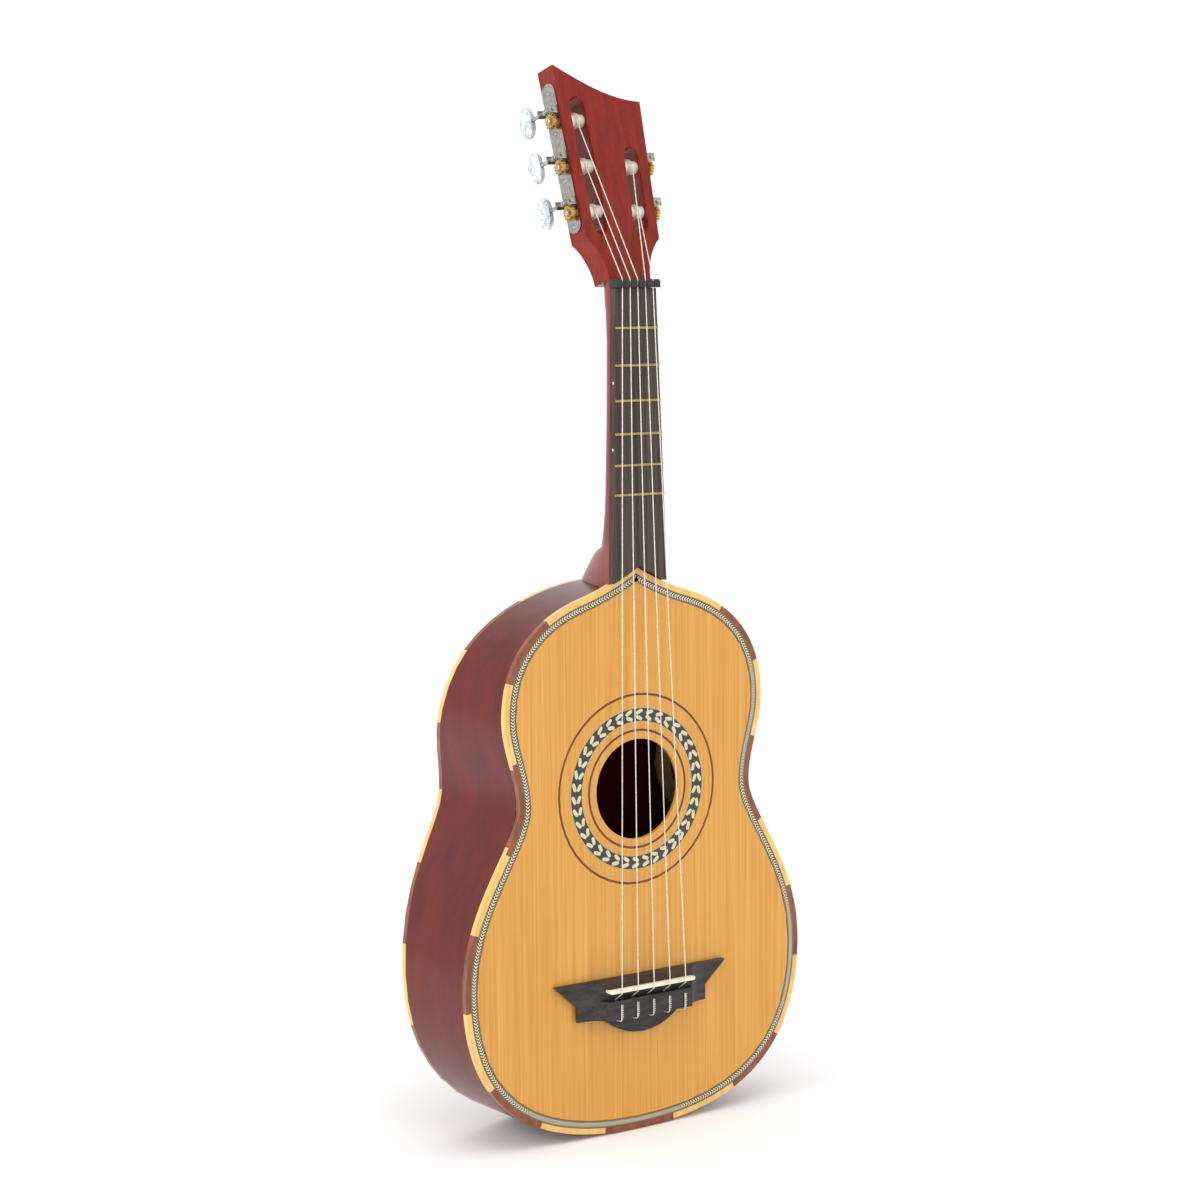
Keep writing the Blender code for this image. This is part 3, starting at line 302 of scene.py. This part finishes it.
def leaves():
    """A ring of cream leaves in pairs on a dark band."""
    made = Nodes("leaf_band", 0.35, coat=0.5)
    x, _, height = made.axes(made.place())
    z = made.math("SUBTRACT", height, HOLE_Z)
    radius = made.math("SQRT", made.math("ADD", made.math("POWER", x, 2.0), made.math("POWER", z, 2.0)))
    near, far = LEAF_BAND
    share = made.math("DIVIDE", made.math("SUBTRACT", radius, near), far - near)
    off = made.math("ABSOLUTE", made.math("SUBTRACT", share, 0.5))
    turn = made.math("MULTIPLY", made.math("ARCTAN2", z, x), LEAF_PAIRS / (2 * math.pi))
    cell = made.math("FRACT", made.math("ADD", turn, made.math("ADD", off, 40.0)))
    middle = made.math("ABSOLUTE", made.math("SUBTRACT", cell, 0.5))
    curve = made.math("SINE", made.math("MULTIPLY", off, math.pi / LEAF_LENGTH))
    width = made.math("MULTIPLY", curve, LEAF_HALF_WIDTH)
    inside = made.math("LESS_THAN", off, LEAVES_END)
    leaf = made.math("MULTIPLY", made.math("LESS_THAN", middle, width), inside)
    colour = made.mix(leaf, srgb(18, 26, 24), srgb(206, 198, 160))
    edge = made.math("GREATER_THAN", off, EDGE_LINES_START)
    made.colour(made.mix(edge, colour, srgb(190, 170, 120)))
    return made.material


def pearl():
    made = Nodes("pearl", 0.18, coat=0.6)
    cells = made.tree.nodes.new("ShaderNodeTexVoronoi")
    made.put(cells.inputs["Vector"], made.place())
    cells.inputs["Scale"].default_value = 260
    grey = made.noise(made.place(), scale=180, detail=3, distortion=1.5)
    base = made.ramp(grey, (0.35, srgb(122, 134, 150)), (0.6, srgb(214, 222, 228)))
    made.colour(made.mix(made.math("MULTIPLY", cells.outputs["Distance"], 0.5), base, srgb(235, 238, 240)))
    return made.material


def make_looks():
    looks = {"herringbone": herringbone(), "leaf_band": leaves(), "pearl_plastic": pearl()}
    for name, (dark, light, *rest) in WOODS.items():
        looks[name] = wood(name, srgb(*dark), srgb(*light), *rest)
    for name, (one, two, *rest) in PLAINS.items():
        looks[name] = plain(name, srgb(*one), srgb(*two), *rest)
    dark, light = [(grey,) * 3 for grey in FLOOR_GREYS]
    looks["floor"] = plain("floor", dark, light, 3, 0.9, 0)
    return looks


def dress(node, look, bevel):
    """The node's own form with softened edges and smooth shading, in place of the faceted one."""
    source = bpy.data.objects[node]
    piece = bpy.data.objects.new(node + "_finish", source.data.copy())
    bpy.context.scene.collection.objects.link(piece)
    form = bmesh.new()
    form.from_mesh(piece.data)
    bmesh.ops.remove_doubles(form, verts=form.verts, dist=1e-6)
    bmesh.ops.dissolve_limit(form, angle_limit=math.radians(0.5), verts=form.verts, edges=form.edges)
    for face in form.faces:
        face.smooth = True
    for edge in form.edges:
        edge.smooth = len(edge.link_faces) == 2 and edge.calc_face_angle(0) < math.radians(32)
    form.to_mesh(piece.data)
    form.free()
    piece.data.materials.clear()
    piece.data.materials.append(LOOKS[look])
    if bevel:
        soften = piece.modifiers.new("soft_edges", "BEVEL")
        soften.width = bevel
        soften.segments = 2
        soften.limit_method = "ANGLE"
        soften.angle_limit = math.radians(40)
    settle(piece, node)
    return piece


def settle(piece, node):
    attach(piece, BODY[node])
    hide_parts(node)


def new_piece(name, verts, faces, look, smooth=False):
    mesh = bpy.data.meshes.new(name)
    mesh.from_pydata([tuple(v) for v in verts], [], faces)
    form = bmesh.new()
    form.from_mesh(mesh)
    bmesh.ops.recalc_face_normals(form, faces=form.faces)
    for face in form.faces:
        face.smooth = smooth
    form.to_mesh(mesh)
    form.free()
    mesh.materials.append(LOOKS[look])
    piece = bpy.data.objects.new(name, mesh)
    bpy.context.scene.collection.objects.link(piece)
    return piece


def ring_faces(rows, sides):
    """Faces between rows of points that each go once round."""
    faces = []
    for row in range(rows - 1):
        for k in range(sides):
            m = (k + 1) % sides
            faces.append((row * sides + k, row * sides + m, (row + 1) * sides + m, (row + 1) * sides + k))
    return faces


def bezier(start, first, second, end, count):
    points = []
    for k in range(1, count + 1):
        t = k / count
        u = 1 - t
        weights = (u**3, 3 * u * u * t, 3 * u * t * t, t**3)
        corners = (start, first, second, end)
        points.append(tuple(sum(w * c[i] for w, c in zip(weights, corners)) for i in (0, 1)))
    return points


def body_half(ogee):
    """Half of the part's outline, from the tail up the right side, with more points."""
    tail, heel = (0, TAIL_Z), (0, HEEL_Z)
    x, z = LOWER_BOUT
    before, after = LOWER_BOUT_REACHES
    points = [tail] + bezier(tail, (TAIL_REACH, TAIL_Z), (x, z - before), LOWER_BOUT, 12 * FINE)
    start = (x, z + after)
    x, z = WAIST
    before, after = WAIST_REACHES
    points += bezier(LOWER_BOUT, start, (x, z - before), WAIST, 8 * FINE)
    start = (x, z + after)
    x, z = UPPER_BOUT
    before, after = UPPER_BOUT_REACHES
    points += bezier(WAIST, start, (x, z - before), UPPER_BOUT, 6 * FINE)
    shoulder = bezier(UPPER_BOUT, (x, z + after), (HEEL_REACH, HEEL_Z), heel, 12 * FINE)
    if not ogee:
        return points + shoulder
    points += shoulder[: 8 * FINE]
    return points + bezier(points[-1], *OGEE_CURVE, (0, OGEE_TIP_Z), 5 * FINE)


def edge_normal(a, b):
    step = b - a
    return Vector((step.y, -step.x)).normalized()


def inset(half, distance):
    """The whole outline, moved inwards."""
    loop = [Vector(p) for p in half + [(-x, z) for x, z in half[-2:0:-1]]]
    moved = []
    for i, point in enumerate(loop):
        one, two = edge_normal(loop[i - 1], point), edge_normal(point, loop[(i + 1) % len(loop)])
        moved.append(point - (one + two) * distance / (1 + one.dot(two)))
    return moved


def strip(name, half, corners, look):
    """A strip round the outline. Its UV counts chevrons along it, and runs 0 to 1 across it."""
    rows = [[(p.x, y, p.y) for p in inset(half, distance)] for distance, y in corners]
    around = len(rows[0])
    verts = [p for row in rows for p in row]
    faces = []
    for j in range(4):
        for i in range(around):
            k, m = (i + 1) % around, (j + 1) % 4
            faces.append((j * around + i, j * around + k, m * around + k, m * around + i))
    piece = new_piece(name, verts, faces, look, smooth=True)
    lengths = [0.0]
    for i in range(around):
        a, b = Vector(rows[0][i]), Vector(rows[0][(i + 1) % around])
        lengths.append(lengths[-1] + (b - a).length)
    layer = piece.data.uv_layers.new(name="along")
    for face in piece.data.polygons:
        ids = [v % around for v in face.vertices]
        wraps = 0 in ids and around - 1 in ids
        for loop_index, vertex in zip(face.loop_indices, face.vertices):
            i = vertex % around
            length = lengths[around] if wraps and i == 0 else lengths[i]
            across = 1.0 if vertex // around in (2, 3) else 0.0
            layer.data[loop_index].uv = (length / CHEVRON_PITCH, across)
    for edge in piece.data.edges:
        a, b = edge.vertices
        edge.use_edge_sharp = a // around == b // around
    return piece


def from_tail(half):
    """A function of x and z: the length along half the outline, from the tail."""
    lengths = [0.0]
    for (x0, z0), (x1, z1) in zip(half, half[1:]):
        lengths.append(lengths[-1] + math.hypot(x1 - x0, z1 - z0))

    def length(x, z):
        near = min(range(len(half)), key=lambda i: (half[i][0] - abs(x)) ** 2 + (half[i][1] - z) ** 2)
        return lengths[near]

    return length


def segment(piece, half, first, step, most, dark):
    """Makes every second stretch of a binding dark."""
    piece.data.materials.append(LOOKS["walnut"])
    length = from_tail(half)
    for face in piece.data.polygons:
        stretch = min(math.floor((length(face.center.x, face.center.z) - first) / step) + 1, most)
        face.material_index = int(stretch % 2 == dark)


def make_strips():
    front = body_half(True)
    near, far, deep = PURFLING_NEAR, PURFLING_NEAR + PURFLING_WIDTH, PURFLING_DEPTH
    purfling = strip("purfling_strip", front, ((near, 0), (near, deep), (far, deep), (far, 0)), "herringbone")
    settle(purfling, "top_purfling")
    wide, high = BINDING_WIDTH, BINDING_HEIGHT
    binding = strip("front_binding_strip", front, ((0, 0), (0, high), (wide, high), (wide, 0)), "maple")
    segment(binding, front, *FRONT_PIECES, MOST_FRONT_PIECES, 0)
    settle(binding, "top_binding")
    back = dress("back_binding", "maple", 0)
    segment(back, body_half(False), *BACK_PIECES, MOST_BACK_PIECES, 1)


def dress_nodes():
    for name, look in SLOT.items():
        if name in DRESSED_APART:
            continue
        bevel = BUTTON_EDGE if name.startswith("button") else SOFT_EDGES.get(name, 0)
        if name.startswith("fret"):
            look = "fret_wire"
        dress(name, OTHER_LOOKS.get(name, look), bevel)


def screw_head(name, place, out, body, radius):
    """A domed head with a slot across it."""
    out = out.normalized()
    one = out.orthogonal().normalized()
    two = out.cross(one)
    verts = []
    for lift, share in SCREW_PROFILE:
        for k in range(SCREW_SIDES):
            angle = 2 * math.pi * k / SCREW_SIDES
            slotted = share < 0.9 and abs(math.sin(angle)) * share < SCREW_SLOT_HALF
            height = lift - SCREW_SLOT_DEPTH if slotted else lift
            across = one * math.cos(angle) + two * math.sin(angle)
            verts.append(place + across * radius * share + out * height * MM)
    rows = len(SCREW_PROFILE)
    caps = [tuple(range(SCREW_SIDES)), tuple(range((rows - 1) * SCREW_SIDES, rows * SCREW_SIDES))]
    head = new_piece(name, verts, ring_faces(rows, SCREW_SIDES) + caps, "steel")
    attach(head, body)


def make_screws():
    """Plate screws between the wheels, and one in the middle of each wheel's hub."""
    joints = {joint["name"]: joint for joint in frame["record"]["behaviour"]["joints"]}
    places = {}
    for number in range(1, STRINGS + 1):
        joint = joints[f"roller_turn_{number}"]
        out, place = Vector(joint["axis"]), Vector(joint["pos_m"])
        places[number] = (place, out)
        body = f"winder_{number}"
        screw_head(f"wheel_screw_{number}", place + out * WHEEL_SCREW_OUT, out, body, WHEEL_SCREW_RADIUS)
    deep = Vector(joints["key_turn_1"]["axis"])
    for side, (lowest, next_up, shares) in PLATE_SCREWS.items():
        first, out = places[lowest]
        step = places[next_up][0] - first
        for k, share in enumerate(shares, 1):
            place = first + step * share + deep * PLATE_SCREW_DEEP + out * PLATE_THICKNESS
            screw_head(f"plate_screw_{side}_{k}", place, out, "instrument", PLATE_SCREW_RADIUS)


def make_ties():
    """Each string's end wound about its own loop on the tie block."""
    for string in range(STRINGS):
        x = (string - (STRINGS - 1) / 2) * SADDLE_PITCH + TIE_ASIDE
        curve = bpy.data.curves.new(f"tie_twist_{string + 1}", "CURVE")
        curve.dimensions = "3D"
        curve.bevel_depth = TWIST_WIRE_RADIUS
        curve.bevel_resolution = 2
        curve.use_fill_caps = True
        spline = curve.splines.new("POLY")
        count = TIE_TWISTS * TWIST_POINTS
        spline.points.add(count)
        for k in range(count + 1):
            t = k / count
            angle = 2 * math.pi * TIE_TWISTS * t
            y = BLOCK_TOP_Y - TIE_LIFT - TWIST_RADIUS * math.cos(angle)
            z = TIE_ENDS_Z[0] + (TIE_ENDS_Z[1] - TIE_ENDS_Z[0]) * t
            spline.points[k].co = (x + TWIST_RADIUS * math.sin(angle), y, z, 1)
        curve.materials.append(LOOKS["string_nylon"])
        piece = bpy.data.objects.new(curve.name, curve)
        bpy.context.scene.collection.objects.link(piece)
        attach(piece, "instrument")


def make_side_dots():
    """Pale position dots let into the fingerboard's left edge."""
    for number, z in enumerate(SIDE_DOTS_Z, 1):
        edge = BOARD_TAPER * z - BOARD_HALF_AT_NUT
        y = BOARD_FACE_AT_NUT_Y + BOARD_SLOPE * z + DOT_BELOW_FACE
        verts = []
        for x, radius in ((0.3 * MM, DOT_RADIUS), (-0.05 * MM, DOT_RADIUS), (-0.12 * MM, 0.7 * DOT_RADIUS)):
            for k in range(DOT_SIDES):
                angle = 2 * math.pi * k / DOT_SIDES
                verts.append((edge + x, y + radius * math.cos(angle), z + radius * math.sin(angle)))
        caps = [tuple(range(DOT_SIDES)), tuple(range(2 * DOT_SIDES, 3 * DOT_SIDES))]
        dot = new_piece(f"side_dot_{number}", verts, ring_faces(3, DOT_SIDES) + caps, "ivory_plastic")
        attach(dot, "instrument")


def make_camera():
    flat = math.cos(CAMERA_ELEVATION)
    x, y = math.sin(CAMERA_AZIMUTH) * flat, -math.cos(CAMERA_AZIMUTH) * flat
    back = Vector((x, y, math.sin(CAMERA_ELEVATION)))
    right = Vector((math.cos(CAMERA_AZIMUTH), math.sin(CAMERA_AZIMUTH), 0))
    up = back.cross(right)
    across = right * math.cos(CAMERA_ROLL) + up * math.sin(CAMERA_ROLL)
    over = up * math.cos(CAMERA_ROLL) - right * math.sin(CAMERA_ROLL)
    camera = bpy.data.objects.new("camera", bpy.data.cameras.new("camera"))
    camera.data.sensor_width = SENSOR
    camera.data.lens = FOCAL_SHARE * SENSOR
    camera.data.clip_start = CLIP_START
    turn = Matrix((across, over, back)).transposed().to_4x4()
    camera.matrix_world = Matrix.Translation(CAMERA_PLACE) @ turn
    bpy.context.scene.collection.objects.link(camera)
    bpy.context.scene.camera = camera


def make_light(name, place, width, height, power):
    light = bpy.data.lights.new(name, "AREA")
    light.shape = "RECTANGLE"
    light.size, light.size_y = width, height
    light.energy = power
    piece = bpy.data.objects.new(name, light)
    piece.location = place
    piece.rotation_euler = (LIGHT_TARGET - Vector(place)).to_track_quat("-Z", "Y").to_euler()
    bpy.context.scene.collection.objects.link(piece)


def make_studio():
    world = bpy.data.worlds.new("studio")
    world.use_nodes = True
    background = world.node_tree.nodes["Background"]
    background.inputs["Color"].default_value = (1, 1, 1, 1)
    background.inputs["Strength"].default_value = WORLD_STRENGTH
    bpy.context.scene.world = world
    bpy.context.scene.view_settings.view_transform = "Standard"
    for name, values in LIGHTS.items():
        make_light(name, *values)
    half = FLOOR_HALF
    corners = [(-half, -half, 0), (half, -half, 0), (half, half, 0), (-half, half, 0)]
    floor = new_piece("floor", corners, [(0, 1, 2, 3)], "floor")
    floor.location.z = TAIL_Z - FLOOR_BELOW


LOOKS = make_looks()
SLOT = {part["node"]: part["material_slot"] for part in frame["record"]["subparts"]}
BODY = {node: body for body, nodes in frame["record"]["behaviour"]["bodies"].items() for node in nodes}

make_camera()
make_studio()
make_strips()
dress_nodes()
make_screws()
make_ties()
make_side_dots()
